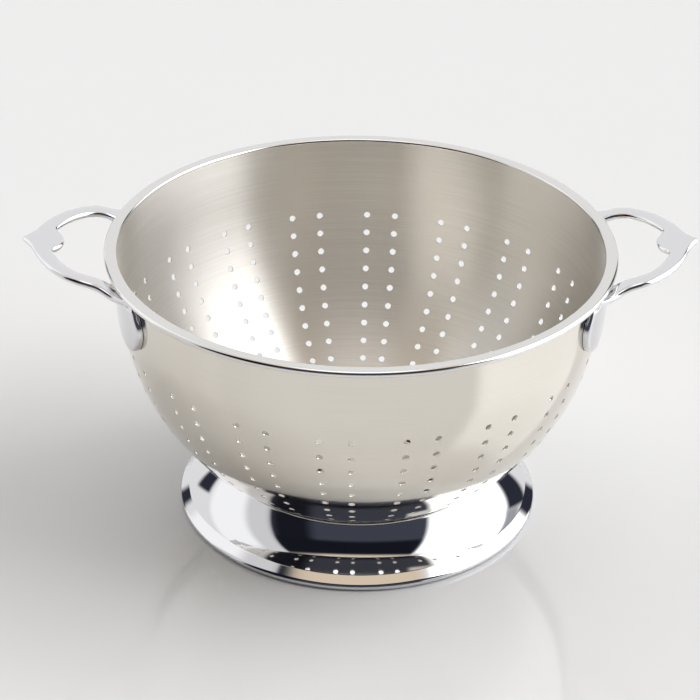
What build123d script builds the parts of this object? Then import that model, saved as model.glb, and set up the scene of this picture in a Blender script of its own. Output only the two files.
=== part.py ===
from build123d import *
from math import acos, cos, degrees, radians, sin, tan
import os

# A footed kitchen colander in stainless steel. The frame's origin is on the table under the
# middle of the foot, +Z is up, and the two handles lie along X. Lengths are in mm, and angles
# are in degrees. Profiles are drawn in the XZ plane, where x is the distance from the axis.

# Bowl: one spun sheet, with its rim rolled outwards
rim_radius = 140.0
bowl_sheet = 0.8
base_height = 14.0
rim_band_width = 7.0
rim_bend_radius = 0.6
curl_radius = 1.8
curl_lip = 1.6
wall_flare = 3.0
wall_straight = 30.6
base_slope = 26.0
base_blend_radius = 40.0

# Holes in the wall: columns in pairs, and rows down the wall's sweep
hole_diameter = 3.5
hole_pairs = 18
pair_angle = 7.4
pattern_turn = 3.2
hole_rows = 9
first_row_gap = 17.3
row_pitch = 10.9

# Holes in the base: one in the middle, then rings that gain six holes each
base_rings = 5
base_ring_pitch = 11.0
ring_gain = 6

# Foot: one spun sheet, with its edge rolled under and a flange welded below the bowl
foot_radius = 101.5
foot_sheet = 0.8
foot_edge_radius = 2.4
foot_hem = 2.2
brim_band_width = 5.0
brim_outer_slope = 38.0
brim_bend_radius = 3.0
brim_inner_slope = 26.0
foot_width = 26.2
neck_bend_radius = 1.5
flange_width = 6.5

# Handles: two castings, each a flat bow between two pads on the wall of the bowl
handle_reach = 44.6
handle_half_width = 46.6
handle_thickness = 4.0
handle_tip_rise = 4.4
handle_rise_angle = 6.0
handle_root_drop = 4.4
handle_root_reach = 6.0
handle_root_tuck = 5.5
handle_tip_radius = 1.0
handle_notch_radius = 1.6
handle_edge_radius = 0.7
pad_angle = 22.3
pad_half_width = 17.0
pad_top_half_width = 12.5
pad_length = 32.5
pad_thickness = 3.8
pad_edge_radius = 1.5

# Welds: thin round nuggets that fill the gap between two pieces
weld_gap = 0.25
pad_weld_diameter = 6.0
pad_weld_pitch = 13.0
foot_weld_diameter = 4.0
foot_weld_count = 12

# One overrun serves every shape that another one trims
overrun = 10.0

# The bow's outline from the wall to the tip, as shares of the reach past the rim and of the
# half width. The outer line flares at its root, and the inner line ends at a notch.
bow_outer_shares = ((-0.34, 1.28), (-0.2, 1.09), (-0.07, 1.015), (0.1, 1.0), (0.26, 0.955),
                    (0.44, 0.86), (0.6, 0.69), (0.73, 0.48), (0.82, 0.285), (0.89, 0.135))
bow_inner_shares = ((-0.3, 0.8), (0.03, 0.8), (0.17, 0.78), (0.31, 0.705), (0.43, 0.585),
                    (0.53, 0.435), (0.6, 0.26))
bow_bump_share = 0.482


# The wall's inner line is a flared straight stretch below the rim, tangent to a long sweep,
# which is part of a sphere around a point on the axis. A smaller arc blends it into the base.
wall_top_radius = rim_radius - rim_band_width
sweep_start_radius = wall_top_radius - wall_straight * tan(radians(wall_flare))
wall_sweep_radius = sweep_start_radius / cos(radians(wall_flare))
sweep_depth = wall_sweep_radius * (cos(radians(base_slope)) - sin(radians(wall_flare)))
blend_depth = base_blend_radius * (1 - cos(radians(base_slope)))
rim_height = base_height + blend_depth + sweep_depth + wall_straight
sweep_start = Vector(sweep_start_radius, rim_height - wall_straight)


def heading(angle):
    """Give the unit vector of the profile plane at an angle below the level."""
    return Vector(cos(radians(angle)), -sin(radians(angle)))


sweep_centre = sweep_start - heading(wall_flare) * wall_sweep_radius


def sweep_point(angle, distance):
    """Give the sweep's point at an angle below the level, a distance outside its inner line."""
    return sweep_centre + heading(angle) * (wall_sweep_radius + distance)


def wall_point(height, distance):
    """Give the straight stretch's point at a height, a distance outside its inner line."""
    slope = tan(radians(wall_flare))
    spread = distance / cos(radians(wall_flare))
    return Vector(wall_top_radius - (rim_height - height) * slope + spread, height)


def wall_core(distance, low_angle, top_height):
    """Give the solid that fills the wall's line, moved outwards by a distance.

    It is cut level at the sweep's point at low_angle and at the top height.
    """
    with BuildPart(mode=Mode.PRIVATE) as core:
        with BuildSketch(Plane.XZ):
            with BuildLine():
                top = wall_point(top_height, distance)
                start = sweep_point(wall_flare, distance)
                middle = sweep_point((wall_flare + low_angle) / 2, distance)
                low = sweep_point(low_angle, distance)
                Line(top, start)
                ThreePointArc(start, middle, low)
                Polyline(low, (0, low.Y), (0, top_height), top)
            make_face()
        revolve(axis=Axis.Z)
    return core.part


# Bowl: the line is the sheet's inner face, from the middle of the base to the lip of the curl
base_sweep_angle = 90 - base_slope
blend_top = sweep_point(base_sweep_angle, 0)
blend_centre = blend_top - heading(base_sweep_angle) * base_blend_radius
blend_middle = blend_centre + heading(90 - base_slope / 2) * base_blend_radius
blend_low = blend_centre + heading(90) * base_blend_radius
bend_radius = rim_bend_radius + bowl_sheet
bend_start = wall_point(rim_height - bend_radius, 0)
bend_centre = bend_start + Vector(bend_radius, 0)
curl_centre = Vector(rim_radius - curl_radius, rim_height - curl_radius)
curl_low = curl_centre + heading(90) * curl_radius

with BuildPart() as bowl:
    with BuildSketch(Plane.XZ):
        with BuildLine():
            Line((0, blend_low.Y), blend_low)
            ThreePointArc(blend_low, blend_middle, blend_top)
            ThreePointArc(blend_top, sweep_point((base_sweep_angle + wall_flare) / 2, 0),
                          sweep_start)
            Line(sweep_start, bend_start)
            ThreePointArc(bend_start, bend_centre + heading(-135) * bend_radius,
                          bend_centre + heading(-90) * bend_radius)
            Line(bend_centre + heading(-90) * bend_radius,
                 curl_centre + heading(-90) * curl_radius)
            ThreePointArc(curl_centre + heading(-90) * curl_radius,
                          curl_centre + heading(0) * curl_radius, curl_low)
            Line(curl_low, curl_low - Vector(curl_lip, 0))
            offset(amount=bowl_sheet, side=Side.RIGHT)
        make_face()
    revolve(axis=Axis.Z)
    hole_depth = 4 * bowl_sheet
    for row in range(hole_rows):
        row_angle = wall_flare + degrees((first_row_gap + row * row_pitch) / wall_sweep_radius)
        row_middle = sweep_point(row_angle, bowl_sheet / 2)
        for side in (-1, 1):
            with PolarLocations(row_middle.X, hole_pairs, pattern_turn + side * pair_angle / 2):
                with Locations(Location((0, 0, row_middle.Y), (0, 90 + row_angle, 0))):
                    Cylinder(hole_diameter / 2, hole_depth, mode=Mode.SUBTRACT)
    base_cut = blend_top.Y - blend_low.Y + 2 * overrun
    with Locations((0, 0, blend_low.Y - overrun)):
        for ring in range(base_rings + 1):
            with PolarLocations(ring * base_ring_pitch, max(1, ring * ring_gain)):
                Cylinder(hole_diameter / 2, base_cut, mode=Mode.SUBTRACT,
                         align=(Align.CENTER, Align.CENTER, Align.MIN))
bowl.part.label = "bowl"


# Foot: the line is the sheet's outer face, from the end of the hem, round the rolled edge, up
# the brim's straight band and its bend, up the cove, and over the neck into the flange
flange_distance = bowl_sheet + weld_gap
flange_sweep = wall_sweep_radius + flange_distance
edge_centre = Vector(foot_radius - foot_edge_radius, foot_edge_radius)
edge_top = edge_centre + heading(brim_outer_slope - 90) * foot_edge_radius
band_top = edge_top + heading(brim_outer_slope + 180) * brim_band_width
brim_centre = band_top - heading(brim_outer_slope - 90) * brim_bend_radius
brim_slope = (brim_outer_slope + brim_inner_slope) / 2
brim_middle = brim_centre + heading(brim_slope - 90) * brim_bend_radius
brim_end = brim_centre + heading(brim_inner_slope - 90) * brim_bend_radius

# The cove leaves the brim along its slope, and its radius is the one that meets the neck's bend
flange_angle = degrees(acos((foot_radius - foot_width) / flange_sweep))
neck_centre = sweep_centre + heading(flange_angle) * (flange_sweep + neck_bend_radius)
neck_way = neck_centre - brim_end
cove_way = heading(brim_inner_slope - 90)
cove_radius = ((neck_way.length ** 2 - neck_bend_radius ** 2)
               / (2 * (neck_bend_radius + neck_way.dot(cove_way))))
cove_centre = brim_end + cove_way * cove_radius
cove_end = cove_centre + (neck_centre - cove_centre).normalized() * cove_radius
cove_middle = cove_centre + ((cove_end - cove_centre).normalized()
                             + (brim_end - cove_centre).normalized()).normalized() * cove_radius
neck_end = sweep_centre + (neck_centre - sweep_centre).normalized() * flange_sweep
neck_middle = neck_centre + ((cove_end - neck_centre).normalized()
                             + (neck_end - neck_centre).normalized()).normalized() * neck_bend_radius
flange_turn = degrees(flange_width / flange_sweep)

with BuildPart() as foot_ring:
    with BuildSketch(Plane.XZ):
        with BuildLine():
            Line((edge_centre.X - foot_hem, 0), (edge_centre.X, 0))
            ThreePointArc((edge_centre.X, 0), edge_centre + heading(0) * foot_edge_radius, edge_top)
            Line(edge_top, band_top)
            ThreePointArc(band_top, brim_middle, brim_end)
            ThreePointArc(brim_end, cove_middle, cove_end)
            ThreePointArc(cove_end, neck_middle, neck_end)
            ThreePointArc(neck_end, sweep_point(flange_angle + flange_turn / 2, flange_distance),
                          sweep_point(flange_angle + flange_turn, flange_distance))
            offset(amount=foot_sheet, side=Side.LEFT)
        make_face()
    revolve(axis=Axis.Z)
foot_ring.part.label = "foot_ring"

foot_weld_angle = flange_angle + flange_turn / 2
foot_weld_middle = sweep_point(foot_weld_angle, bowl_sheet + weld_gap / 2)
with BuildPart() as foot_welds:
    with PolarLocations(foot_weld_middle.X, foot_weld_count, 180 / foot_weld_count):
        with Locations(Location((0, 0, foot_weld_middle.Y), (0, 90 + foot_weld_angle, 0))):
            Cylinder(foot_weld_diameter / 2, 4 * bowl_sheet)
    add(wall_core(flange_distance, flange_angle + flange_turn, rim_height), mode=Mode.INTERSECT)
    add(wall_core(bowl_sheet, flange_angle + flange_turn, rim_height), mode=Mode.SUBTRACT)
foot_welds.part.label = "foot_welds"


# Handles: a slab that climbs away from the rim, cut to the bow's outline, with two pads
tip_x = rim_radius + handle_reach
tip_height = rim_height + handle_tip_rise
climb = tan(radians(handle_rise_angle))
root_height = rim_height - handle_root_drop
pad_face = bowl_sheet + weld_gap
pad_low_angle = wall_flare + degrees((pad_length + overrun) / wall_sweep_radius)


def bow_points(shares, side):
    """Give plan points from shares of the reach and of the half width, on one side of X."""
    return [(rim_radius + reach * handle_reach, side * width * handle_half_width)
            for reach, width in shares]


def slab_edge(drop):
    """Draw the slab's top line, dropped by a height, and give its two ends."""
    root = (rim_radius - 2 * overrun, root_height - drop)
    tuck = (rim_radius - handle_root_tuck, root_height - drop)
    rise = (rim_radius + handle_root_reach,
            tip_height - drop - (handle_reach - handle_root_reach) * climb)
    end = (tip_x + overrun, tip_height - drop + overrun * climb)
    Line(root, tuck)
    Spline(tuck, rise, tangents=((1, 0), (1, climb)))
    Line(rise, end)
    return root, end


pad_planes = [Plane(origin=(rim_radius * cos(radians(side * pad_angle)),
                            rim_radius * sin(radians(side * pad_angle)), root_height),
                    x_dir=(-sin(radians(side * pad_angle)), cos(radians(side * pad_angle)), 0),
                    z_dir=(cos(radians(side * pad_angle)), sin(radians(side * pad_angle)), 0))
              for side in (-1, 1)]

with BuildPart() as bow:
    with BuildSketch(Plane.XY.offset(rim_height - overrun - overrun)):
        with BuildLine():
            outer = bow_points(bow_outer_shares, 1)
            outer_low = bow_points(bow_outer_shares, -1)
            inner = bow_points(bow_inner_shares, 1)
            inner_low = bow_points(bow_inner_shares, -1)
            Spline(*outer, (tip_x, 0))
            Spline((tip_x, 0), *reversed(outer_low))
            Line(outer_low[0], inner_low[0])
            Spline(*inner_low)
            ThreePointArc(inner_low[-1], (rim_radius + bow_bump_share * handle_reach, 0), inner[-1])
            Spline(*reversed(inner))
            Line(inner[0], outer[0])
        make_face()
    extrude(amount=4 * overrun)
    outline_corners = bow.edges().filter_by(Axis.Z).sort_by(Axis.X)
    fillet(outline_corners[-1], handle_tip_radius)
    fillet(outline_corners[-3:-1], handle_notch_radius)
    with BuildSketch(Plane.XZ):
        with BuildLine():
            top_root, top_tip = slab_edge(0)
            low_root, low_tip = slab_edge(handle_thickness)
            Line(top_root, low_root)
            Line(top_tip, low_tip)
        make_face()
    extrude(amount=handle_half_width + overrun, both=True, mode=Mode.INTERSECT)
    fillet(bow.edges().filter_by(Axis.Z, reverse=True), handle_edge_radius)

with BuildPart() as pads:
    for pad_plane in pad_planes:
        with BuildSketch(pad_plane):
            with BuildLine():
                Line((-pad_top_half_width, 0), (pad_top_half_width, 0))
                CenterArc((0, pad_half_width - pad_length), pad_half_width, 0, 360)
            make_hull()
        extrude(amount=2 * overrun, both=True)
    add(wall_core(pad_face + pad_thickness, pad_low_angle, root_height), mode=Mode.INTERSECT)
    pad_outsides = pads.faces().filter_by(GeomType.CONE) + pads.faces().filter_by(GeomType.SPHERE)
    fillet([edge for edge in pad_outsides.edges() if edge.bounding_box().size.Z > weld_gap],
           pad_edge_radius)

with BuildPart() as right_handle:
    add(bow.part)
    add(pads.part)
    add(wall_core(pad_face, pad_low_angle, rim_height), mode=Mode.SUBTRACT)
right_handle.part.label = "right_handle"

with BuildPart() as right_handle_welds:
    for pad_plane in pad_planes:
        with Locations(pad_plane):
            with Locations((0, pad_half_width - pad_length)):
                with GridLocations(0, pad_weld_pitch, 1, 2):
                    Cylinder(pad_weld_diameter / 2, 2 * overrun)
    add(wall_core(pad_face, pad_low_angle, rim_height), mode=Mode.INTERSECT)
    add(wall_core(bowl_sheet, pad_low_angle, rim_height), mode=Mode.SUBTRACT)
right_handle_welds.part.label = "right_handle_welds"

with BuildPart() as left_handle:
    mirror(right_handle.part, about=Plane.YZ)
left_handle.part.label = "left_handle"

with BuildPart() as left_handle_welds:
    mirror(right_handle_welds.part, about=Plane.YZ)
left_handle_welds.part.label = "left_handle_welds"

os.makedirs("parts", exist_ok=True)
export_step(bowl.part, "parts/bowl.step")
export_step(foot_ring.part, "parts/foot_ring.step")
export_step(foot_welds.part, "parts/foot_welds.step")
export_step(right_handle.part, "parts/right_handle.step")
export_step(right_handle_welds.part, "parts/right_handle_welds.step")
export_step(left_handle.part, "parts/left_handle.step")
export_step(left_handle_welds.part, "parts/left_handle_welds.step")
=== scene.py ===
"""Dress a footed steel colander: its surfaces and finishes, a studio and a camera."""
import logging
import math
from collections.abc import Callable
from dataclasses import dataclass, field
from enum import Enum

import bpy
import numpy as np
from mathutils import Matrix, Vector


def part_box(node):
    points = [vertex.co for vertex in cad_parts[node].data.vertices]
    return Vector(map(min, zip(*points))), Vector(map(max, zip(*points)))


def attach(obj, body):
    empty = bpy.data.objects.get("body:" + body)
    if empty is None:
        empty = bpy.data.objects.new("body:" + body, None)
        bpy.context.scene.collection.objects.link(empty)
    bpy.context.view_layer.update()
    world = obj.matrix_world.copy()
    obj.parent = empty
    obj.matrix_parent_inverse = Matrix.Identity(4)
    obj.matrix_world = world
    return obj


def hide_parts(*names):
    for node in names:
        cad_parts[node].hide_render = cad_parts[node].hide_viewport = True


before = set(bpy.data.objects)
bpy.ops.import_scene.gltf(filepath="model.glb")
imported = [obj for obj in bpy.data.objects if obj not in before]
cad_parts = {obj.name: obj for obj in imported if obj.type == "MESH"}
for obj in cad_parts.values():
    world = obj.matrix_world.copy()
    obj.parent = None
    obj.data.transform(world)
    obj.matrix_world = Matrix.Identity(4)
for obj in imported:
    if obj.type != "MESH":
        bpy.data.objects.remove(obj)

log = logging.getLogger("colander")

Array = np.ndarray
Socket = bpy.types.NodeSocket
Tree = bpy.types.NodeTree
Ring = tuple[Array, Array, Array]

MM = 0.001
MERGE_STEP_MM = 0.0005
MERGE_SHIFT_MM = 0.000137
TINY = 1e-12
SHARP_DEGREES = 50
NOISE_RANGE = {"From Min": 0.3, "From Max": 0.7}
PATCH_RANGE = {"From Min": 0.35, "From Max": 0.75}
PATCHES_PER_WAVE = 2.5
LINES_PER_RADIAN = 1.6
STRAY_ROUGHNESS = 0.75


class Side(Enum):
    """The side of the bowl that a handle is welded to, as the sign of its X."""

    RIGHT = 1
    LEFT = -1


class Finish(Enum):
    """The finishes of the bowl's faces, in the order of its material slots."""

    OUTSIDE = 0
    INSIDE = 1
    RIM = 2
    HOLE = 3


# Mesh making


@dataclass
class Patch:
    """A stretch of surface in mm.

    points is (n, 3), faces is (m, 4) with a corner repeated on a triangle, and normals is (n, 3).
    """

    points: Array
    faces: Array
    normals: Array
    slot: int = 0

    def facing_out(self) -> Array:
        """Turn the faces whose winding disagrees with the normals.

        Returns:
            The faces, (m, 4), with the wrong ones reversed.
        """
        corners = self.points[self.faces]
        across = np.cross(corners[:, 2] - corners[:, 0], corners[:, 3] - corners[:, 1])
        wanted = self.normals[self.faces].sum(axis=1)
        wrong = (across * wanted).sum(axis=1) < 0
        faces = self.faces.copy()
        faces[wrong] = faces[wrong][:, ::-1]
        return faces


def grid_faces(rows: int, columns: int, closed: bool = False) -> Array:
    """Number the faces of a grid whose points run along its rows.

    Args:
        rows: how many rows of points there are.
        columns: how many points a row has.
        closed: whether the last column joins the first.

    Returns:
        One row of four point numbers for each face.
    """
    row = np.arange(rows - 1)[:, None]
    column = np.arange(columns if closed else columns - 1)[None, :]
    after = (column + 1) % columns
    corners = (row * columns + column, row * columns + after,
               (row + 1) * columns + after, (row + 1) * columns + column)
    return np.stack(corners, axis=-1).reshape(-1, 4)


def unit(vectors: Array) -> Array:
    """Scale vectors to a length of 1."""
    return vectors / np.maximum(np.linalg.norm(vectors, axis=-1, keepdims=True), TINY)


def compass(angles: Array) -> Array:
    """Return unit vectors (cos, sin) at angles in radians."""
    return np.stack([np.cos(angles), np.sin(angles)], axis=-1)


def grid_patch(points: Array, normals: Array, slot: int, closed: bool = False) -> Patch:
    """Make a patch from a grid of points and normals, both (rows, columns, 3)."""
    return Patch(points.reshape(-1, 3), grid_faces(*points.shape[:2], closed=closed),
                 normals.reshape(-1, 3), slot)


def repeated(faces: Array, copies: int, step: int) -> Array:
    """Repeat a set of faces, each copy with its point numbers raised by one more step."""
    return (faces[None] + (np.arange(copies) * step)[:, None, None]).reshape(-1, 4)


def build_mesh(name: str, patches: list[Patch], keep_normals: bool = True) -> bpy.types.Mesh:
    """Join patches into one mesh in metres, with points that coincide made one.

    A face's corner that repeats the one before it is left out, so a four-sided face that a pole
    or a fan folds is written as a triangle, and one folded flat is dropped.

    Args:
        name: the mesh's name.
        patches: the stretches of surface.
        keep_normals: whether the corners keep the patches' own normals.

    Returns:
        The new mesh.
    """
    starts = np.cumsum([0] + [len(patch.points) for patch in patches])
    points = np.concatenate([patch.points for patch in patches])
    faces = np.concatenate([patch.facing_out() + start for patch, start in zip(patches, starts)])
    normals = np.concatenate([patch.normals for patch in patches])
    slots = np.concatenate([np.full(len(patch.faces), patch.slot) for patch in patches])

    keys = np.floor((points + MERGE_SHIFT_MM) / MERGE_STEP_MM + 0.5).astype(np.int64)
    _, first, group = np.unique(keys, axis=0, return_index=True, return_inverse=True)
    joined = group.reshape(-1)[faces]
    kept = joined != np.roll(joined, 1, axis=1)
    crossed = (joined[:, 0] == joined[:, 2]) | (joined[:, 1] == joined[:, 3])
    whole = (kept.sum(axis=1) >= 3) & ~crossed
    joined, kept, faces, slots = joined[whole], kept[whole], faces[whole], slots[whole]

    sizes = kept.sum(axis=1)
    loops = joined[kept]
    mesh = bpy.data.meshes.new(name)
    mesh.vertices.add(len(first))
    mesh.vertices.foreach_set("co", (points[first] * MM).astype(np.float32).ravel())
    mesh.loops.add(len(loops))
    mesh.loops.foreach_set("vertex_index", loops.astype(np.int32))
    mesh.polygons.add(len(sizes))
    mesh.polygons.foreach_set("loop_start", (np.cumsum(sizes) - sizes).astype(np.int32))
    mesh.polygons.foreach_set("material_index", slots.astype(np.int32))
    mesh.polygons.foreach_set("use_smooth", np.ones(len(sizes), dtype=bool))
    mesh.update(calc_edges=True)
    if keep_normals:
        mesh.normals_split_custom_set(normals[faces[kept]].astype(np.float32))
    return mesh


def add_object(name: str, data: bpy.types.ID) -> bpy.types.Object:
    """Put an object with its data in the scene, at the origin.

    Args:
        name: the object's name.
        data: the mesh or the camera that it shows.

    Returns:
        The new object.
    """
    thing = bpy.data.objects.new(name, data)
    bpy.context.scene.collection.objects.link(thing)
    return thing


def add_piece(mesh: bpy.types.Mesh, nodes: list[str],
              finishes: list[bpy.types.Material]) -> bpy.types.Object:
    """Put a mesh in the scene as a piece that rides with the part and stands for its nodes.

    Args:
        mesh: the piece's mesh, whose name the piece takes.
        nodes: the nodes of the frame that the piece stands for.
        finishes: the materials, in the order of the faces' numbers.

    Returns:
        The new object.
    """
    piece = add_object(mesh.name, mesh)
    for finish in finishes:
        mesh.materials.append(finish)
    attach(piece, "root")
    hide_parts(*nodes)
    triangles = sum(len(polygon.vertices) - 2 for polygon in mesh.polygons)
    log.info("%s: %d points, %d triangles", piece.name, len(mesh.vertices), triangles)
    return piece


# Lines that are spun round the axis


def heading(angle: Array | float) -> Array:
    """Return unit vectors (r, z) at angles, in degrees, below the level."""
    return compass(np.radians(angle)) * np.array([1, -1])


UP = heading(-90.0)
DOWN = heading(90.0)


@dataclass
class SheetLine:
    """One face of a sheet, drawn in the (r, z) plane in mm, with the way into the sheet."""

    points: list[Array] = field(default_factory=list)
    ways: list[Array] = field(default_factory=list)

    def arc(self, centre: Array, radius: float, start: float, stop: float, steps: int,
            way: int) -> None:
        """Add the arc centre + heading(angle) * radius.

        Args:
            centre: the arc's centre (r, z).
            radius: its radius.
            start: the angle of its first point, in degrees below the level.
            stop: the angle of its last point.
            steps: how many steps it takes.
            way: 1 where the sheet lies outside the arc, and -1 where it lies inside.
        """
        rays = heading(np.linspace(start, stop, steps + 1))
        self.points.append(np.asarray(centre) + rays * radius)
        self.ways.append(rays * way)

    def line(self, start: Array, stop: Array, steps: int, way: Array) -> None:
        """Add a straight stretch.

        Args:
            start: its first point (r, z).
            stop: its last point.
            steps: how many steps it takes.
            way: the way into the sheet.
        """
        share = np.linspace(0, 1, steps + 1)[:, None]
        self.points.append(np.asarray(start) * (1 - share) + np.asarray(stop) * share)
        self.ways.append(np.broadcast_to(way, (steps + 1, 2)))

    def arrays(self) -> tuple[Array, Array]:
        """Return the line's points and ways as two (n, 2) arrays."""
        return np.concatenate(self.points), np.concatenate(self.ways)


def turned(flat: Array, angles: Array) -> Array:
    """Turn points round the axis, with x = r cos(angle) and y = r sin(angle).

    Args:
        flat: (n, 2) points (r, z).
        angles: (k,) angles in radians.

    Returns:
        (n, k, 3) points.
    """
    across = flat[:, None, :1] * compass(angles)[None]
    up = np.broadcast_to(flat[:, None, 1:], across.shape[:2] + (1,))
    return np.concatenate([across, up], axis=-1)


def spun_face(flat: Array, normals: Array, angles: Array, slot: int) -> Patch:
    """Make the closed face that a line (r, z) sweeps when it turns through all the angles."""
    return grid_patch(turned(flat, angles), turned(normals, angles), slot, closed=True)


def spun_sheet(line: SheetLine, sheet: float, angles: Array, near_slot: int,
               far_slot: int) -> list[Patch]:
    """Make both faces of a spun sheet.

    Args:
        line: the sheet's profile.
        sheet: its thickness in mm.
        angles: the angles round the axis.
        near_slot: the number of the line's own face.
        far_slot: the number of the face that lies a sheet's thickness into it.

    Returns:
        The two patches.
    """
    points, ways = line.arrays()
    return [spun_face(points, -ways, angles, near_slot),
            spun_face(points + ways * sheet, ways, angles, far_slot)]


def spun_edge(point: Array, way: Array, sheet: float, normal: Array,
              angles: Array, slot: int) -> Patch:
    """Make the narrow face that closes a sheet at its cut edge.

    Args:
        point: the edge's point (r, z) on the line.
        way: the way into the sheet there.
        sheet: the sheet's thickness in mm.
        normal: the edge's outward normal (r, z).
        angles: the angles round the axis.
        slot: the face's number.

    Returns:
        The edge as one patch.
    """
    flat = np.stack([point, point + way * sheet])
    return spun_face(flat, np.broadcast_to(normal, (2, 2)), angles, slot)


def zipped_rings(outer: Ring, inner: Ring, slot: int) -> Patch:
    """Fill the band between two rings that have different numbers of points.

    The points of both rings are put in the order of their angles. Each one makes a triangle with
    the point before it on its own ring and the last point passed on the other ring.

    Args:
        outer, inner: each ring's points and normals, (n, 3), and its angles from 0 to a full turn.
        slot: the faces' number.

    Returns:
        The band as one patch.
    """
    many, few = len(outer[0]), len(inner[0])
    is_outer = np.argsort(np.concatenate([outer[2], inner[2]]), kind="stable") < many
    at_outer = np.cumsum(is_outer) - 1
    at_inner = np.cumsum(~is_outer) - 1
    own = np.where(is_outer, at_outer, at_inner + many)
    before = np.where(is_outer, (at_outer - 1) % many, (at_inner - 1) % few + many)
    other = np.where(is_outer, at_inner % few + many, at_outer % many)
    return Patch(np.concatenate([outer[0], inner[0]]),
                 np.stack([before, own, other, other], axis=-1),
                 np.concatenate([outer[1], inner[1]]), slot)


# The bowl


@dataclass
class Bowl:
    """A spun steel bowl, in mm, with a rolled rim and punched drain holes.

    The wall is a straight flare below the rim and then a sphere round the axis, which a smaller
    arc blends into a flat base. A place on the wall is (angle round the axis, run down the sphere).
    """

    rim_radius: float
    rim_height: float
    sheet: float = 0.8
    band: float = 7.0
    bend_radius: float = 1.4
    curl_radius: float = 1.8
    curl_lip: float = 1.6
    flare: float = 3.0
    straight: float = 30.6
    base_slope: float = 26.0
    blend_radius: float = 40.0
    hole_radius: float = 1.75
    hole_bevel: float = 0.15
    hole_pairs: int = 18
    pair_angle: float = 7.4
    pattern_turn: float = 3.2
    hole_rows: int = 9
    first_row_gap: float = 17.3
    row_pitch: float = 10.9
    base_rings: int = 5
    ring_gain: int = 6
    base_pitch: float = 11.0
    base_cell_share: float = 0.42
    base_margin_share: float = 0.08
    ring_middle_share: float = 0.38
    cell_steps: int = 5
    gap_steps: int = 4

    def __post_init__(self) -> None:
        """Work out the centres, radii and angles that the surfaces share."""
        lean = math.radians(self.flare)
        self.top_radius = self.rim_radius - self.band
        start_radius = self.top_radius - self.straight * math.tan(lean)
        self.sphere_radius = start_radius / math.cos(lean)
        start = np.array([start_radius, self.rim_height - self.straight])
        self.sphere_centre = start - heading(self.flare) * self.sphere_radius
        steep = 90 - self.base_slope
        self.blend_top = self.sphere_centre + heading(steep) * self.sphere_radius
        self.blend_centre = self.blend_top - heading(steep) * self.blend_radius
        bend_reach = self.bend_radius * (1 / math.cos(lean) - math.tan(lean))
        self.bend = np.array([self.top_radius + bend_reach, self.rim_height - self.bend_radius])
        self.base_edge = self.base_pitch * (self.base_rings + self.base_cell_share
                                            + self.base_margin_share)
        self.faces = ((0, -1, Finish.INSIDE), (self.sheet, 1, Finish.OUTSIDE))
        steps = np.linspace(0, 1, self.cell_steps + 1)[:-1]
        self.gap = 360 / self.hole_pairs - 2 * self.pair_angle
        gap_angles = np.linspace(0, self.gap, self.gap_steps + 1)[:-1]
        columns = np.concatenate([(steps - 1) * self.pair_angle, steps * self.pair_angle,
                                  self.pair_angle + gap_angles])
        self.pairs = np.arange(self.hole_pairs) * 360 / self.hole_pairs + self.pattern_turn
        self.wall_angles = np.sort(np.radians((self.pairs[:, None] + columns).ravel() % 360))

    def on_wall(self, places: Array, depth: float) -> tuple[Array, Array]:
        """Place points on the sphere.

        Args:
            places: (..., 2) places, each an angle round the axis and a run down the sphere.
            depth: how far outside the inner face they lie.

        Returns:
            The points and their outward normals. With b = flare + run / radius, the point is
            centre + (radius + depth) * (cos b, -sin b), turned by the angle.
        """
        below = np.radians(self.flare) + places[..., 1] / self.sphere_radius
        normals = np.concatenate([np.cos(below)[..., None] * compass(places[..., 0]),
                                  -np.sin(below)[..., None]], axis=-1)
        middle = np.array([self.sphere_centre[0], 0, self.sphere_centre[1]])
        return middle + normals * (self.sphere_radius + depth), normals

    def on_base(self, places: Array, depth: float) -> tuple[Array, Array]:
        """Place points on the base from their plan places (x, y).

        With r their distance from the axis, the inner face is level as far as the blend's centre,
        then follows the blend's circle, and beyond its top the sphere.

        Args:
            places: (..., 2) plan places in mm.
            depth: how far outside the inner face they lie.

        Returns:
            The points and their outward normals.
        """
        reach = np.hypot(places[..., 0], places[..., 1])
        past = np.clip((reach - self.blend_centre[0]) / self.blend_radius, 0, 1)
        around = reach / self.sphere_radius
        blended = reach < self.blend_top[0]
        lean = np.where(blended, past, around)
        down = np.sqrt(1 - lean ** 2)
        height = np.where(blended, self.blend_centre[1] - self.blend_radius * down,
                          self.sphere_centre[1] - self.sphere_radius * down)
        way = places / np.maximum(reach, TINY)[..., None]
        normals = np.concatenate([way * lean[..., None], -down[..., None]], axis=-1)
        points = np.concatenate([places, height[..., None]], axis=-1)
        return points + normals * depth, normals

    def punched(self, place: Callable, centres: Array, ring: Callable,
                border: Array) -> list[Patch]:
        """Make the cells round a set of holes, on both faces, with the holes' bevels and bores.

        Each cell's face runs from its border to a circle round the hole, in two steps.

        Args:
            place: on_wall or on_base.
            centres: (cells, 2) places of the holes.
            ring: a function that gives the places (cells, k, 2) of a circle of a radius.
            border: (cells, k, 2) places of the cells' borders.

        Returns:
            The patches of all the cells.
        """
        edge = ring(self.hole_radius + self.hole_bevel)
        bore = ring(self.hole_radius)
        share = self.ring_middle_share
        middle = edge * (1 - share) + border * share
        cells, around = border.shape[:2]
        patches = []

        def band(rows: list[Array], normals: list[Array], slot: Finish) -> None:
            """Add a band of closed rings round every hole.

            Args:
                rows: the rings' points, each (cells, k, 3).
                normals: the rings' normals, in the same order.
                slot: the band's finish.
            """
            points = np.stack(rows, axis=1).reshape(-1, 3)
            faces = repeated(grid_faces(len(rows), around, closed=True), cells,
                             len(rows) * around)
            patches.append(Patch(points, faces, np.stack(normals, axis=1).reshape(-1, 3),
                                 slot.value))

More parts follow.
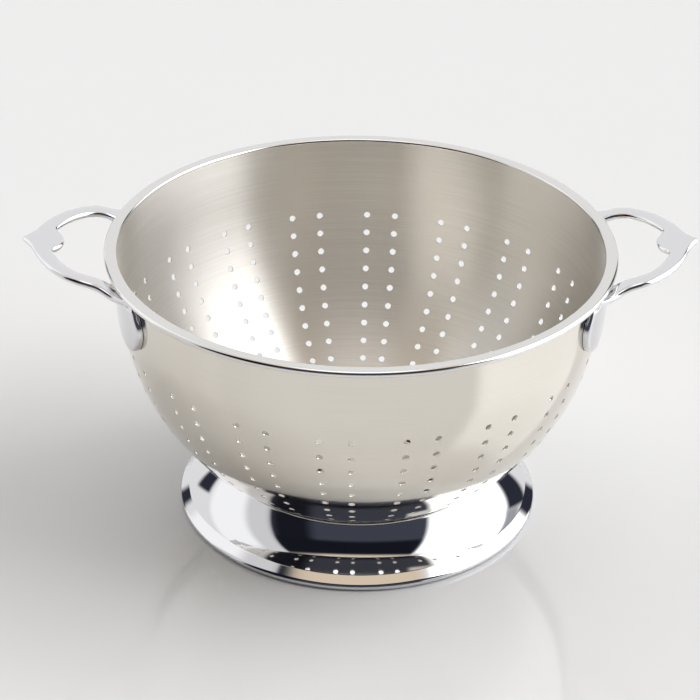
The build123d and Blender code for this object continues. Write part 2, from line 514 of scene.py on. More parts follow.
        bores, inward = [], []
        for depth in (self.hole_bevel, self.sheet - self.hole_bevel):
            bores.append(place(bore, depth)[0])
            inward.append(unit(place(centres[:, None], depth)[0] - bores[-1]))
        band(bores, inward, Finish.HOLE)
        for (depth, side, slot), wall, normal in zip(self.faces, bores, inward):
            rows, ways = zip(*(place(places, depth) for places in (edge, middle, border)))
            normals = [way * side for way in ways]
            band(list(rows), normals, slot)
            band([rows[0], wall], [normals[0], normal], Finish.HOLE)
        return patches

    def cell_border(self) -> Array:
        """Return the border of a square from -1 to 1, once round, as (4 * cell_steps, 2)."""
        run = np.linspace(-1, 1, self.cell_steps + 1)[:-1]
        one = np.ones(self.cell_steps)
        return np.concatenate([np.stack([one, run], -1), np.stack([-run, one], -1),
                               np.stack([-one, -run], -1), np.stack([run, -one], -1)])

    def circle(self) -> Array:
        """Return a unit circle with its points in step with the cell's border."""
        return compass(np.radians(-45 + np.arange(4 * self.cell_steps) * 90 / self.cell_steps))

    def wall_holes(self) -> list[Patch]:
        """Make the wall's band of holes: columns in pairs, with plain strips between the pairs.

        Returns:
            The patches of the cells and the strips.
        """
        half = math.radians(self.pair_angle / 2)
        turns = np.radians(self.pairs)
        columns = np.sort(np.concatenate([turns - half, turns + half]))
        rows = self.first_row_gap + np.arange(self.hole_rows) * self.row_pitch
        centres = np.stack(np.meshgrid(columns, rows, indexing="ij"), axis=-1).reshape(-1, 2)
        below = math.radians(self.flare) + centres[:, 1] / self.sphere_radius
        reach = self.sphere_radius * np.cos(below)[:, None]

        def ring(radius: float) -> Array:
            """Return circles on the wall, with the angle round the axis from the arc's length."""
            steps = np.stack([radius / reach, np.full_like(reach, radius)], axis=-1)
            return centres[:, None] + self.circle()[None] * steps

        border = centres[:, None] + self.cell_border() * np.array([half, self.row_pitch / 2])
        patches = self.punched(self.on_wall, centres, ring, border)
        runs = self.hole_run()
        steps = np.linspace(0, math.radians(self.gap), self.gap_steps + 1)
        for start in turns + 2 * half:
            places = np.stack(np.meshgrid(runs, start + steps, indexing="ij")[::-1], axis=-1)
            for depth, side, slot in self.faces:
                points, ways = self.on_wall(places, depth)
                patches.append(grid_patch(points, ways * side, slot.value))
        return patches

    def hole_run(self) -> Array:
        """Return the runs down the sphere of the borders' points in the band of holes."""
        top = self.first_row_gap - self.row_pitch / 2
        return np.linspace(top, top + self.hole_rows * self.row_pitch,
                           self.hole_rows * self.cell_steps + 1)

    def base_holes(self) -> list[Patch]:
        """Make the base: rings of holes that gain six each, with narrow bands between them.

        Returns:
            The patches of the cells and the bands.
        """
        half = self.base_cell_share * self.base_pitch
        unit_border, unit_circle = self.cell_border(), self.circle()
        circle_angles = np.arctan2(unit_circle[:, 1], unit_circle[:, 0])
        patches, border_rings = [], []

        for number in range(self.base_rings + 1):
            middle = number * self.base_pitch
            if number == 0:
                centres, turns = np.zeros((1, 2)), np.zeros(1)
                border = (unit_circle * half)[None]
                edge_angles = circle_angles
            else:
                count = self.ring_gain * number
                turns = np.arange(count) * 2 * math.pi / count
                centres = middle * compass(turns)
                angles = turns[:, None] + unit_border[:, 1] * math.pi / count
                border = (middle + unit_border[:, 0] * half)[None, :, None] * compass(angles)
                steps = np.arange(count * self.cell_steps) * 2 * math.pi
                edge_angles = steps / (count * self.cell_steps) - math.pi / count
            edge_angles = np.sort(edge_angles % (2 * math.pi))

            def ring(radius: float) -> Array:
                """Return circles in plan, turned with their cells."""
                return centres[:, None] + radius * compass(turns[:, None] + circle_angles)

            patches += self.punched(self.on_base, centres, ring, border)
            border_rings.append((middle, edge_angles))
        border_rings.append((self.base_edge + half, self.wall_angles))
        for (middle, angles), (far_middle, far_angles) in zip(border_rings, border_rings[1:]):
            reach, far_reach = middle + half, far_middle - half
            for depth, side, slot in self.faces:
                outer, outer_ways = self.on_base(far_reach * compass(far_angles), depth)
                inner, inner_ways = self.on_base(reach * compass(angles), depth)
                patches.append(zipped_rings((outer, outer_ways * side, far_angles),
                                            (inner, inner_ways * side, angles), slot.value))
        return patches

    def rim_line(self) -> SheetLine:
        """Draw the sheet's outer face from the curl's lip over the rim and down to the holes.

        Returns:
            The rim's profile.
        """
        line = SheetLine()
        curl = np.array([self.rim_radius - self.curl_radius, self.rim_height - self.curl_radius])
        low = curl + DOWN * self.curl_radius
        line.line(low - np.array([self.curl_lip, 0]), low, 1, UP)
        line.arc(curl, self.curl_radius, 90, -90, 16, -1)
        line.line(curl + UP * self.curl_radius, self.bend + UP * self.bend_radius, 2, DOWN)
        line.arc(self.bend, self.bend_radius, -90, -180 + self.flare, 8, -1)
        return line

    def wall_lines(self) -> list[SheetLine]:
        """Draw the plain stretches of the wall.

        Returns:
            The stretch from the rim to the holes, and the one from the holes to the base.
        """
        lean = heading(self.flare)
        bend_end = self.bend + heading(-180 + self.flare) * self.bend_radius
        start = self.sphere_centre + lean * self.sphere_radius
        turns = np.degrees(self.hole_run()[[0, -1]] / self.sphere_radius) + self.flare
        foot_turn = 90 - math.degrees(math.asin(self.base_edge / self.sphere_radius))
        upper, lower = SheetLine(), SheetLine()
        upper.line(bend_end, start, 5, lean)
        upper.arc(self.sphere_centre, self.sphere_radius, self.flare, turns[0], 2, 1)
        lower.arc(self.sphere_centre, self.sphere_radius, turns[1], foot_turn, 4, 1)
        return [upper, lower]

    def build(self) -> bpy.types.Mesh:
        """Build the bowl's mesh.

        Returns:
            The mesh of the rim, the wall and the base.
        """
        patches = self.wall_holes() + self.base_holes()
        for line in self.wall_lines():
            patches += spun_sheet(line, self.sheet, self.wall_angles, Finish.INSIDE.value,
                                  Finish.OUTSIDE.value)
        rim = self.rim_line()
        patches += spun_sheet(rim, self.sheet, self.wall_angles, Finish.RIM.value,
                              Finish.OUTSIDE.value)
        points, ways = rim.arrays()
        patches.append(spun_edge(points[0], ways[0], self.sheet, np.array([-1.0, 0.0]),
                                 self.wall_angles, Finish.RIM.value))
        return build_mesh("spun_bowl", patches)


# The foot


@dataclass
class Foot:
    """A spun steel foot, in mm: a rolled edge, a straight band, a bend, a cove and a flange."""

    bowl: Bowl
    radius: float
    sheet: float = 0.8
    edge_radius: float = 2.4
    hem: float = 2.2
    band: float = 5.0
    brim_outer_slope: float = 38.0
    brim_radius: float = 3.0
    brim_inner_slope: float = 26.0
    width: float = 26.2
    neck_radius: float = 1.5
    flange: float = 6.5
    weld_gap: float = 0.25
    turns: int = 288

    def line(self) -> SheetLine:
        """Draw the sheet's outer face from the hem to the flange's edge.

        The cove leaves the brim along its slope. Its radius R makes it touch the neck's bend of
        radius b: with d the way from the brim's end to the bend's centre and n the brim's normal,
        R = (d.d - b * b) / (2 * (b + n.d)).

        Returns:
            The foot's profile.
        """
        line = SheetLine()
        edge = np.array([self.radius - self.edge_radius, self.edge_radius])
        line.line(edge + np.array([-self.hem, -self.edge_radius]),
                  edge + np.array([0, -self.edge_radius]), 1, UP)
        top = self.brim_outer_slope - 90
        line.arc(edge, self.edge_radius, 90, top, 14, -1)
        band = edge + heading(top) * self.edge_radius
        band_top = band + heading(self.brim_outer_slope + 180) * self.band
        line.line(band, band_top, 4, -heading(top))
        brim = band_top - heading(top) * self.brim_radius
        low = self.brim_inner_slope - 90
        line.arc(brim, self.brim_radius, top, low, 8, -1)
        brim_end = brim + heading(low) * self.brim_radius
        sweep = self.bowl.sphere_radius + self.bowl.sheet + self.weld_gap
        flange_turn = math.degrees(math.acos((self.radius - self.width) / sweep))
        neck = self.bowl.sphere_centre + heading(flange_turn) * (sweep + self.neck_radius)
        way = neck - brim_end
        up = heading(low)
        cove_radius = (way @ way - self.neck_radius ** 2) / (2 * (self.neck_radius + up @ way))
        cove = brim_end + up * cove_radius
        meet = neck - cove
        meet_turn = math.degrees(math.atan2(-meet[1], meet[0])) % 360
        line.arc(cove, cove_radius, low + 180, meet_turn, 24, 1)
        line.arc(neck, self.neck_radius, meet_turn - 180, flange_turn - 180, 8, -1)
        line.arc(self.bowl.sphere_centre, sweep, flange_turn,
                 flange_turn + math.degrees(self.flange / sweep), 3, 1)
        return line

    def build(self) -> bpy.types.Mesh:
        """Build the foot's mesh.

        Returns:
            The mesh of the sheet and its two cut edges.
        """
        angles = np.arange(self.turns) * 2 * math.pi / self.turns
        line = self.line()
        points, ways = line.arrays()
        patches = spun_sheet(line, self.sheet, angles, 0, 0)
        for end, beside in ((0, 1), (-1, -2)):
            patches.append(spun_edge(points[end], ways[end], self.sheet,
                                     unit(points[end] - points[beside]), angles, 0))
        return build_mesh("spun_foot", patches)


# The handles


def curve_through(knots: Array, values: Array, at: Array) -> Array:
    """Run a cubic curve through points, with curvature that is steady from piece to piece.

    The second derivatives m solve the usual row for each inner knot, with h the step before and g
    the step after: h m[i-1] + 2 (h + g) m[i] + g m[i+1] = 6 (rise after / g - rise before / h).
    They are 0 at the last knot, and at the first one the curve leaves with no slope in X and Z.

    Args:
        knots: (n,) rising positions of the points.
        values: (n, 3) points.
        at: (k,) positions to read the curve at.

    Returns:
        (k, 3) points on the curve.
    """
    steps = np.diff(knots)
    rises = np.diff(values, axis=0) / steps[:, None]
    count = len(knots)
    rows = np.zeros((count, count))
    right = np.zeros((count, values.shape[1]))
    inner = np.arange(1, count - 1)
    rows[inner, inner - 1] = steps[:-1]
    rows[inner, inner] = 2 * (steps[:-1] + steps[1:])
    rows[inner, inner + 1] = steps[1:]
    right[1:-1] = 6 * np.diff(rises, axis=0)
    rows[-1, -1] = 1
    rows[0, 0], rows[0, 1] = 2 * steps[0], steps[0]
    right[0] = 6 * (rises[0] - np.array([0, rises[0, 1], 0]))
    bends = np.linalg.solve(rows, right)
    piece = np.clip(np.searchsorted(knots, at, side="right") - 1, 0, count - 2)
    before = (at - knots[piece])[:, None]
    after = (knots[piece + 1] - at)[:, None]
    step = steps[piece][:, None]
    return ((bends[piece] * after ** 3 + bends[piece + 1] * before ** 3) / (6 * step)
            + (values[piece] / step - bends[piece] * step / 6) * after
            + (values[piece + 1] / step - bends[piece + 1] * step / 6) * before)


@dataclass
class Handle:
    """A cast handle, in mm: a flat bow with a pointed tip, and a tongue-shaped pad at each root.

    One arm is a strap between two rails, the near one (towards the bowl) and the far one. Both
    run from the tip along the bow, flare under the rim, and turn down the wall to the pad's end.
    The other arm mirrors it in Y.
    """

    side: Side
    bowl: Bowl
    reach: float
    thickness: float = 4.0
    tip_rise: float = 4.4
    rise_angle: float = 6.0
    root_drop: float = 4.4
    weld_gap: float = 0.25
    pad_angle: float = 22.3
    pad_half_width: float = 17.0
    pad_length: float = 32.5
    upper_round: float = 1.9
    lower_round: float = 1.1
    pad_round: float = 1.7
    pad_back_round: float = 0.25
    crown: float = 0.35
    crown_width: float = 9.0
    turn_start: int = 10
    turn_stations: int = 4
    samples: int = 190

    def bow_stations(self) -> Array:
        """Return the bow's stations from the tip: near X and Y, far X and Y, near and far drop.

        X and Y are in mm past the rim and from the middle. A drop is below the bow's plane.
        """
        return np.array([
            (21.5, 0.0, 43.9, 0.0, 0.0, 0.0),
            (21.7, 2.9, 43.1, 1.7, 0.0, 0.0),
            (22.6, 6.0, 40.7, 5.0, 0.0, 0.0),
            (24.6, 9.2, 37.9, 10.0, 0.0, 0.0),
            (26.5, 12.0, 35.7, 15.6, 0.0, 0.0),
            (25.4, 16.4, 33.1, 21.6, 0.0, 0.0),
            (22.6, 21.8, 29.4, 28.2, 0.0, 0.0),
            (18.5, 27.8, 24.4, 34.7, 0.0, 0.0),
            (13.1, 33.0, 18.0, 40.6, 0.0, 0.0),
            (7.2, 36.2, 11.0, 44.7, 0.0, 0.0),
            (1.6, 37.2, 4.6, 46.6, 0.8, 0.5),
            (-2.4, 37.5, -0.6, 47.6, 2.3, 1.9),
            (-5.2, 37.9, -4.6, 49.8, 3.4, 3.2),
            (-7.6, 38.5, -9.0, 53.2, 3.9, 3.9),
        ])

    def turn_down(self) -> Array:
        """Return the stations from the bow to the pad: near depth and reach, far depth and reach.

        A depth is below the rim, and a reach is in mm from the pad's middle line.
        """
        return np.array([
            (8.9, 12.0, 7.6, 12.2),
            (11.2, 13.2, 10.4, 13.6),
            (14.8, 15.3, 14.4, 15.4),
        ])

    def pad_place(self, depth: Array, across: Array) -> Array:
        """Place points of the pad's middle surface.

        Args:
            depth: depths below the rim.
            across: distances from the pad's middle line, positive away from the X axis.

        Returns:
            (n, 3) points, on the wall's flare moved out by the sheet, the gap and half the pad.
        """
        lean = math.radians(self.bowl.flare)
        out = self.bowl.sheet + self.weld_gap + self.thickness / 2
        straight = self.bowl.top_radius - depth * math.tan(lean) + out / math.cos(lean)
        below = np.maximum(depth - self.bowl.straight, 0) / self.bowl.sphere_radius
        drop = self.bowl.sphere_radius * (np.cos(lean) - np.cos(lean + below))
        reach = np.where(below > 0, straight - drop + (depth - self.bowl.straight) * math.tan(lean),
                         straight)
        angle = math.radians(self.pad_angle) + across / self.bowl.rim_radius
        return np.stack([reach * np.cos(angle), reach * np.sin(angle),
                         self.bowl.rim_height - depth], axis=-1)

    def rails(self) -> tuple[Array, Array, Array]:
        """Run the rails through the stations of the bow and the pad.

        Returns:
            The near rail and the far rail, (samples, 3) each, and the share of the pad at each
            point, which is 0 on the bow and 1 on the pad.
        """
        stations = self.bow_stations()
        rim, top = self.bowl.rim_radius, self.bowl.rim_height
        climb = math.tan(math.radians(self.rise_angle))

        def bow_place(past: Array, across: Array, drop: Array) -> Array:
            """Place points of the bow's middle surface from their reach past the rim."""
            height = top + self.tip_rise - self.thickness / 2 - (self.reach - past) * climb - drop
            return np.stack([rim + past, across, height], axis=-1)

        near = bow_place(stations[:, 0], stations[:, 1], stations[:, 4])
        far = bow_place(stations[:, 2], stations[:, 3], stations[:, 5])
        widest = self.root_drop + self.pad_length - self.pad_half_width
        bend = self.turn_down()
        turn = np.radians(np.arange(0, 91, 11.25))
        depth = widest + self.pad_half_width * np.sin(turn)
        half = self.pad_half_width * np.cos(turn)
        near_pad = self.pad_place(np.concatenate([bend[:, 0], depth]),
                                  -np.concatenate([bend[:, 1], half]))
        far_pad = self.pad_place(np.concatenate([bend[:, 2], depth]),
                                 np.concatenate([bend[:, 3], half]))
        near, far = np.concatenate([near, near_pad]), np.concatenate([far, far_pad])
        share = np.clip((np.arange(len(near)) - self.turn_start) / self.turn_stations, 0, 1)
        gaps = (np.linalg.norm(np.diff(near, axis=0), axis=1)
                + np.linalg.norm(np.diff(far, axis=0), axis=1)) / 2
        knots = np.concatenate([[0], np.cumsum(gaps)])
        at = np.linspace(0, knots[-1], self.samples)
        return (curve_through(knots, near, at), curve_through(knots, far, at),
                np.interp(at, knots, share))

    def build(self) -> bpy.types.Mesh:
        """Build the handle's mesh.

        At each station the section is a band of the casting's thickness along the normal, which
        is the way across the strap crossed with the way along it. Its four corners are quarter
        rounds, whose insets run square to the rails, and its faces are crowned.

        Returns:
            The mesh of both arms.
        """
        near, far, pad = self.rails()
        middle = (near + far) / 2
        along = np.gradient(middle, axis=0)
        across = far - near
        across[-1] = across[-2]
        normal = np.cross(across, along)
        normal[0, 1] = 0
        normal = unit(normal)

        def inward(rail: Array, sign: int) -> Array:
            """Find the ways into the strap, square to a rail and to the normal.

            Args:
                rail: the rail's points.
                sign: 1 on the far rail and -1 on the near one.

            Returns:
                A unit vector for each point.
            """
            way = sign * np.cross(normal, np.gradient(rail, axis=0))
            way[0, 1] = 0
            return unit(way)

        into = {"far": inward(far, 1), "near": inward(near, -1)}
        rail = {"far": far, "near": near}
        half = self.thickness / 2
        upper = self.upper_round * (1 - pad) + self.pad_back_round * pad
        lower = self.lower_round * (1 - pad) + self.pad_round * pad
        width = np.linalg.norm(far - near, axis=1)
        sag = pad * (width / 2) ** 2 / (2 * self.bowl.rim_radius)
        outward = unit(middle * np.array([1, 1, 0]))

        def corner(name: str, top: int, angles: Array) -> Array:
            """Round a corner of the section: inset r (1 - cos a), and height half - r + r sin a.

            Args:
                name: the rail that the corner runs along.
                top: 1 for the upper face and -1 for the lower one.
                angles: the quarter round's angles in radians.

            Returns:
                (samples, angles, 3) points.
            """
            radius = upper if top > 0 else lower
            inset = radius[:, None] * (1 - np.cos(angles))
            height = top * (half - self.crown - radius[:, None] * (1 - np.sin(angles)))
            return (rail[name][:, None] + into[name][:, None] * inset[..., None]
                    + normal[:, None] * height[..., None])

        def face(first: str, second: str, top: int, steps: int) -> Array:
            """Span a face from one inset rail to the other, crowned and bent round the wall.

            With s the share of the way across, both rise by their height times 4 s (1 - s).

            Args:
                first: the rail that the face starts at.
                second: the rail that it ends at.
                top: 1 for the upper face and -1 for the lower one.
                steps: how many steps lie across it.

            Returns:
                (samples, steps + 1, 3) points.
            """
            radius = (upper if top > 0 else lower)[:, None]
            start = rail[first] + into[first] * radius
            stop = rail[second] + into[second] * radius
            share = np.linspace(0, 1, steps + 1)[None, :, None]
            arch = 4 * share * (1 - share)
            rise = self.crown * np.minimum(width / self.crown_width, 1) * (1 - pad * (top > 0))
            points = start[:, None] * (1 - share) + stop[:, None] * share
            points = points + normal[:, None] * (top * (half - rise[:, None, None] * (1 - arch)))
            return points + outward[:, None] * (sag[:, None, None] * arch)

        quarter = np.radians(np.linspace(0, 90, 6))
        section = np.concatenate([face("near", "far", 1, 10), corner("far", 1, quarter[::-1]),
                                  corner("far", -1, quarter), face("far", "near", -1, 12),
                                  corner("near", -1, quarter[::-1]), corner("near", 1, quarter)],
                                 axis=1)
        patches = []
        for mirror in (1, -1):
            points = section * np.array([self.side.value, mirror, 1])
            ways = unit(np.cross(np.roll(points, -1, axis=1) - np.roll(points, 1, axis=1),
                                 np.gradient(points, axis=0)))
            outside = np.sign(((points - points.mean(axis=1, keepdims=True)) * ways).sum())
            patches.append(grid_patch(points, ways * outside, 0, closed=True))
        mesh = build_mesh(f"cast_{self.side.name.lower()}_handle", patches, keep_normals=False)
        mesh.set_sharp_from_angle(angle=math.radians(SHARP_DEGREES))
        return mesh


# Finishes


def linear(code: str) -> tuple[float, float, float, float]:
    """Turn an sRGB colour linear, with c / 12.92 when dark and else ((c + 0.055) / 1.055) ** 2.4.

    Args:
        code: the colour as a hex code.

    Returns:
        Linear red, green and blue, and an alpha of 1.
    """
    parts = [int(code[i:i + 2], 16) / 255 for i in (1, 3, 5)]
    values = [p / 12.92 if p <= 0.04045 else ((p + 0.055) / 1.055) ** 2.4 for p in parts]
    return (values[0], values[1], values[2], 1.0)


def add_node(tree: Tree, kind: str, settings: dict | None = None,
             links: dict | None = None) -> bpy.types.Node:
    """Add a node to a tree.

    Args:
        tree: the node tree.
        kind: the node's type name.
        settings: property names, or input names or numbers, with their values.
        links: input names or numbers with the output sockets that feed them.

    Returns:
        The new node.
    """
    node = tree.nodes.new(kind)
    for name, value in (settings or {}).items():
        if isinstance(name, str) and hasattr(node, name):
            setattr(node, name, value)
        else:
            node.inputs[name].default_value = value
    for name, socket in (links or {}).items():
        tree.links.new(socket, node.inputs[name])
    return node


@dataclass(frozen=True)
class Steel:
    """Bare stainless steel."""

    name: str
    colour: str
    roughness: float

    def surface(self, tree: Tree, place: Socket) -> Socket:
        """Return the surface's shader, which each finish makes in its own way."""
        raise NotImplementedError

    def make(self) -> bpy.types.Material:
        """Make the material on the piece's Object coordinates.

        Returns:
            The new material.
        """
        material = bpy.data.materials.new(self.name)
        material.use_nodes = True
        tree = material.node_tree
        tree.nodes.clear()
        place = add_node(tree, "ShaderNodeTexCoord").outputs["Object"]
        surface = self.surface(tree, place)
        add_node(tree, "ShaderNodeOutputMaterial", links={"Surface": surface})
        return material


@dataclass(frozen=True)
class SpunSteel(Steel):
    """Stainless steel, finished while it spins.

    A belt or mop held against the turning sheet leaves fine lines that run round the axis, so
    highlights stretch across them, up and down the wall. line_mm is the lines' spacing, drawn
    coarser than the real 0.05 mm grit so that it shows, and cloud_mm the size of the hand's
    slower changes. haze is the share of the light that stray cross scratches spread widely.
    """

    shade: str
    roughness_swing: float
    anisotropy: float
    haze: float
    line_mm: float
    line_height_mm: float
    cloud_mm: float

    def surface(self, tree: Tree, place: Socket) -> Socket:
        """Make the surface's shader.

        With r the distance from the axis and a the angle round it, the lines are a noise at
        ((z + r) / line, 1.6 a), which is fine along the sheet's profile and long round the axis.

        Args:
            tree: the material's node tree.
            place: the piece's Object coordinates.

        Returns:
            The shader's socket.
        """
        x, y, z = add_node(tree, "ShaderNodeSeparateXYZ", links={0: place}).outputs
        level = add_node(tree, "ShaderNodeCombineXYZ", links={0: x, 1: y}).outputs[0]
        reach = add_node(tree, "ShaderNodeVectorMath", {"operation": "LENGTH"},
                         {0: level}).outputs["Value"]
        run = add_node(tree, "ShaderNodeMath", {"operation": "ADD"}, {0: z, 1: reach}).outputs[0]
        turn = add_node(tree, "ShaderNodeMath", {"operation": "ARCTAN2"}, {0: y, 1: x}).outputs[0]
        lines_across = add_node(tree, "ShaderNodeMath", {
            "operation": "MULTIPLY", 1: 1 / (self.line_mm * MM)}, {0: run}).outputs[0]
        lines_round = add_node(tree, "ShaderNodeMath", {
            "operation": "MULTIPLY", 1: LINES_PER_RADIAN}, {0: turn}).outputs[0]
        lines_place = add_node(tree, "ShaderNodeCombineXYZ",
                               links={0: lines_across, 1: lines_round}).outputs[0]
        lines = add_node(tree, "ShaderNodeTexNoise", {
            "Scale": 1.0, "Detail": 4.0, "Roughness": 0.65}, {"Vector": lines_place}).outputs["Fac"]
        clouds = add_node(tree, "ShaderNodeTexNoise", {
            "Scale": 1 / (self.cloud_mm * MM), "Detail": 3.0, "Roughness": 0.5},
            {"Vector": place}).outputs["Fac"]
        swing = add_node(tree, "ShaderNodeMapRange", {
            **NOISE_RANGE, "To Min": self.roughness - self.roughness_swing,
            "To Max": self.roughness + self.roughness_swing}, {"Value": clouds}).outputs["Result"]
        share = add_node(tree, "ShaderNodeMapRange", NOISE_RANGE,
                         {"Value": lines}).outputs["Result"]
        colour = add_node(tree, "ShaderNodeMix", {
            "data_type": "RGBA", 6: linear(self.shade), 7: linear(self.colour)},
            {0: share}).outputs[2]
        bump = add_node(tree, "ShaderNodeBump", {
            "Strength": 1.0, "Distance": self.line_height_mm * MM}, {"Height": lines}).outputs[0]
        tangent = add_node(tree, "ShaderNodeTangent", {"direction_type": "RADIAL", "axis": "Z"})
        brushed = add_node(tree, "ShaderNodeBsdfPrincipled", {
            "Metallic": 1.0, "Anisotropic": self.anisotropy, "Anisotropic Rotation": 0.25},
            {"Base Color": colour, "Roughness": swing, "Normal": bump,
             "Tangent": tangent.outputs[0]})
        stray = add_node(tree, "ShaderNodeBsdfPrincipled", {
            "Metallic": 1.0, "Roughness": STRAY_ROUGHNESS}, {"Base Color": colour})
        return add_node(tree, "ShaderNodeMixShader", {0: self.haze},
                        {1: brushed.outputs[0], 2: stray.outputs[0]}).outputs[0]


@dataclass(frozen=True)
class PolishedSteel(Steel):
    """Stainless steel, buffed to a mirror.

    A soft mop leaves hardly any lines, but the sheet or casting below keeps a slight slow wave,
    which bends long reflections. wave_mm is its length and wave_height_mm its height, and haze is
    how much rougher the duller patches are.
    """

    wave_mm: float
    wave_height_mm: float
    haze: float

    def surface(self, tree: Tree, place: Socket) -> Socket:
        """Make the surface's shader: a noise for the wave, and a finer one for the dull patches.

        Args:
            tree: the material's node tree.
            place: the piece's Object coordinates.

        Returns:
            The shader's socket.
        """
        wave = add_node(tree, "ShaderNodeTexNoise", {
            "Scale": 1 / (self.wave_mm * MM), "Detail": 1.0, "Roughness": 0.4},
            {"Vector": place}).outputs["Fac"]
        patches = add_node(tree, "ShaderNodeTexNoise", {
            "Scale": PATCHES_PER_WAVE / (self.wave_mm * MM), "Detail": 5.0, "Roughness": 0.6},
            {"Vector": place}).outputs["Fac"]
        rough = add_node(tree, "ShaderNodeMapRange", {
            **PATCH_RANGE, "To Min": self.roughness, "To Max": self.roughness + self.haze},
            {"Value": patches}).outputs["Result"]
        bump = add_node(tree, "ShaderNodeBump", {
            "Strength": 1.0, "Distance": self.wave_height_mm * MM}, {"Height": wave}).outputs[0]
        return add_node(tree, "ShaderNodeBsdfPrincipled", {
            "Metallic": 1.0, "Base Color": linear(self.colour)},
            {"Roughness": rough, "Normal": bump}).outputs[0]


# The studio and the camera


@dataclass(frozen=True)
class Panel:
    """A stretch of the room: its azimuth from the front towards +X and its height, in degrees."""

    name: str
    azimuth: tuple[float, float]
    height: tuple[float, float]
    colour: str
    strength: float
    edge: float = 5.0


@dataclass(frozen=True)
class Studio:
    """A pale floor in a pale room, with windows at the sides, a dim ceiling and a dark front."""

    floor_colour: str = "#E9E9E9"
    floor_half: float = 12.0
    floor_roughness: float = 0.07
    room: Panel = Panel("room", (-180, 180), (-90, 90), "#F7F7F7", 0.97)
    panels: tuple[Panel, ...] = (
        Panel("ceiling, lit", (-400, 400), (75, 100), "#F4F4F6", 1.9, 6.0),
        Panel("ceiling, front", (-128, 126), (60, 76), "#F0DCC2", 0.95, 4.0),
        Panel("left window", (-132, -72), (-4, 59), "#FFFFFF", 0.75, 4.0),
        Panel("left window, middle", (-130, -95), (-4, 56), "#FFFFFF", 1.15, 10.0),
        Panel("right window", (58, 128), (-4, 57), "#FAFCFF", 2.2, 5.0),
        Panel("right window, upper", (60, 126), (32, 56), "#FAFCFF", 4.8, 8.0),
        Panel("front wall", (-72, 55), (-4, 60), "#484B57", 0.9, 4.0),
        Panel("front wall, left", (-71, -38), (-4, 59), "#1A1C24", 1.0, 14.0),
        Panel("front wall, top", (-71, 54), (40, 60), "#1A1C24", 0.9, 6.0),
        Panel("front wall, low right", (38, 58), (-4, 10), "#FFFFFF", 0.8, 5.0),
        Panel("right screen", (128, 139), (26, 48), "#D8DAE0", 0.6, 6.0),
        Panel("right gap", (130, 145), (-4, 26), "#2E313C", 1.0, 4.0),
        Panel("left gap", (-144, -132), (-4, 16), "#2E313C", 1.0, 4.0),
    )

    def sky(self) -> None:
        """Make the world: the room's colour, with each panel laid over what came before it.

        A direction's azimuth is atan2(x, -y) and its height asin(z). A panel covers the product of
        a smooth rise and fall in each.
        """
        world = bpy.data.worlds.new("studio_room")
        bpy.context.scene.world = world
        world.use_nodes = True
        tree = world.node_tree
        tree.nodes.clear()
        way = add_node(tree, "ShaderNodeTexCoord").outputs["Generated"]
        x, y, z = add_node(tree, "ShaderNodeSeparateXYZ", links={0: way}).outputs
        ahead = add_node(tree, "ShaderNodeMath", {"operation": "MULTIPLY", 1: -1.0},
                         {0: y}).outputs[0]
        azimuth = add_node(tree, "ShaderNodeMath", {"operation": "ARCTAN2"},
                           {0: x, 1: ahead}).outputs[0]
        height = add_node(tree, "ShaderNodeMath", {"operation": "ARCSINE"}, {0: z}).outputs[0]

        def between(value: Socket, span: tuple[float, float], edge: float) -> Socket:
            """Make a factor that is 1 between two angles and 0 outside them, with soft edges.

            Args:
                value: a direction's angle in radians.
                span: the two angles in degrees.
                edge: how wide each soft edge is, in degrees.

            Returns:
                The factor's socket.
            """
            slopes = [add_node(tree, "ShaderNodeMapRange", {
                "interpolation_type": "SMOOTHSTEP", 1: math.radians(at - edge / 2),
                2: math.radians(at + edge / 2), 3: start, 4: 1.0 - start}, {0: value}).outputs[0]
                for at, start in zip(span, (0.0, 1.0))]
            return add_node(tree, "ShaderNodeMath", {"operation": "MULTIPLY"},
                            {0: slopes[0], 1: slopes[1]}).outputs[0]

        def glow(panel: Panel) -> tuple[float, ...]:
            """Return a panel's colour at its strength."""
            return tuple(part * panel.strength for part in linear(panel.colour)[:3]) + (1.0,)

        light = add_node(tree, "ShaderNodeRGB").outputs[0]
        light.default_value = glow(self.room)
        for panel in self.panels:
            shape = add_node(tree, "ShaderNodeMath", {"operation": "MULTIPLY"}, {
                0: between(azimuth, panel.azimuth, panel.edge),
                1: between(height, panel.height, panel.edge)}).outputs[0]
            light = add_node(tree, "ShaderNodeMix", {"data_type": "RGBA", 7: glow(panel)},
                             {0: shape, 6: light}).outputs[2]
        backdrop = add_node(tree, "ShaderNodeBackground", links={"Color": light})
        add_node(tree, "ShaderNodeOutputWorld", links={"Surface": backdrop.outputs[0]})

    def floor(self) -> None:
        """Lay the pale polished floor that the foot stands on."""
        half = self.floor_half
        mesh = bpy.data.meshes.new("floor")
        mesh.from_pydata([(-half, -half, 0), (half, -half, 0), (half, half, 0), (-half, half, 0)],
                         [], [(0, 1, 2, 3)])
        material = bpy.data.materials.new("polished_white_stone")
        material.use_nodes = True
        stone = material.node_tree.nodes["Principled BSDF"].inputs
        stone["Base Color"].default_value = linear(self.floor_colour)
        stone["Roughness"].default_value = self.floor_roughness
        mesh.materials.append(material)
        add_object("floor", mesh)


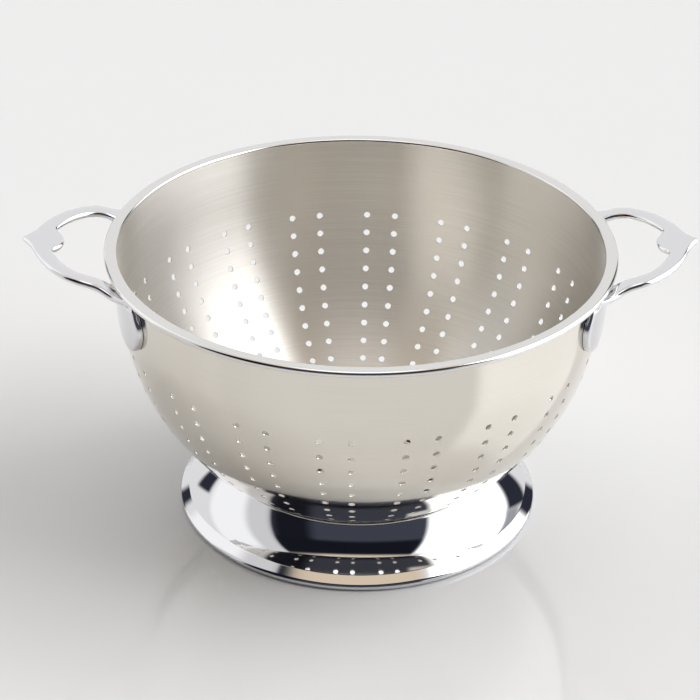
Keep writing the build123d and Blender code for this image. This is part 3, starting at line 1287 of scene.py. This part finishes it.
@dataclass(frozen=True)
class View:
    """The camera: where it stands, in mm, its turns in degrees and its lens."""

    stand: tuple[float, float, float] = (-35.75, -1220.96, 793.3)
    yaw: float = 1.43
    pitch: float = 29.83
    roll: float = -0.84
    lens: float = 129.7

    def make(self) -> None:
        """Make the camera, which looks along (sin yaw cos pitch, cos yaw cos pitch, -sin pitch)."""
        yaw, pitch, roll = (math.radians(a) for a in (self.yaw, self.pitch, self.roll))
        ahead = np.array([math.sin(yaw) * math.cos(pitch), math.cos(yaw) * math.cos(pitch),
                          -math.sin(pitch)])
        level = np.array([math.cos(yaw), -math.sin(yaw), 0])
        down = np.cross(ahead, level)
        right = math.cos(roll) * level + math.sin(roll) * down
        up = math.sin(roll) * level - math.cos(roll) * down
        camera = add_object("camera", bpy.data.cameras.new("camera"))
        camera.data.lens = self.lens
        camera.data.clip_end = 100
        rows = np.stack([right, up, -ahead], axis=1)
        camera.matrix_world = (Matrix.Translation([v * MM for v in self.stand])
                               @ Matrix(rows.tolist()).to_4x4())
        bpy.context.scene.camera = camera


# Building


def corners(node: str) -> tuple[Array, Array]:
    """Return a node's lowest and highest corners in mm."""
    low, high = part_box(node)
    return np.array(low) / MM, np.array(high) / MM


def main() -> None:
    """Build every piece in order, then the studio and the camera."""
    logging.basicConfig(level=logging.INFO, format="%(name)s %(message)s")
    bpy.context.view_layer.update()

    inside = SpunSteel("stainless_brushed_inside", "#F7F4EE", roughness=0.36, shade="#E8E3DB",
                       roughness_swing=0.02, anisotropy=0.98, haze=0.06, line_mm=0.45,
                       line_height_mm=0.006, cloud_mm=60.0).make()
    outside = SpunSteel("stainless_fine_polished_outside", "#E9E4DB", roughness=0.09,
                        shade="#E2DDD2", roughness_swing=0.015, anisotropy=0.35, haze=0.0,
                        line_mm=0.35, line_height_mm=0.0015, cloud_mm=80.0).make()
    rim = PolishedSteel("stainless_buffed_rim", "#E6E5E3", 0.10, 30.0, 0.01, 0.03).make()
    edge = PolishedSteel("stainless_punched_edge", "#D8D6D2", 0.18, 4.0, 0.01, 0.04).make()
    mirror = PolishedSteel("stainless_mirror_foot", "#E2E2E4", 0.035, 45.0, 0.02, 0.02).make()
    cast = PolishedSteel("stainless_buffed_casting", "#E4E4E6", 0.055, 14.0, 0.03, 0.03).make()
    weld = PolishedSteel("stainless_spot_weld", "#A9A39B", 0.38, 3.0, 0.05, 0.10).make()

    bowl_low, bowl_high = corners("bowl")
    bowl = Bowl(rim_radius=bowl_high[0], rim_height=bowl_high[2])
    add_piece(bowl.build(), ["bowl"], [outside, inside, rim, edge])

    foot_high = corners("foot_ring")[1]
    foot = Foot(bowl, radius=foot_high[0])
    add_piece(foot.build(), ["foot_ring"], [mirror])

    for side, node in ((Side.RIGHT, "right_handle"), (Side.LEFT, "left_handle")):
        low, high = corners(node)
        reach = max(-low[0], high[0]) - bowl.rim_radius
        handle = Handle(side, bowl, reach=reach)
        add_piece(handle.build(), [node], [cast])

    for node in ("foot_welds", "right_handle_welds", "left_handle_welds"):
        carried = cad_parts[node]
        carried.data.materials.clear()
        carried.data.materials.append(weld)
        log.info("%s: carried over with its own finish", node)

    studio = Studio()
    studio.sky()
    studio.floor()
    View().make()

    scene = bpy.context.scene
    scene.view_settings.view_transform = "Standard"


if __name__ == "__main__":
    main()
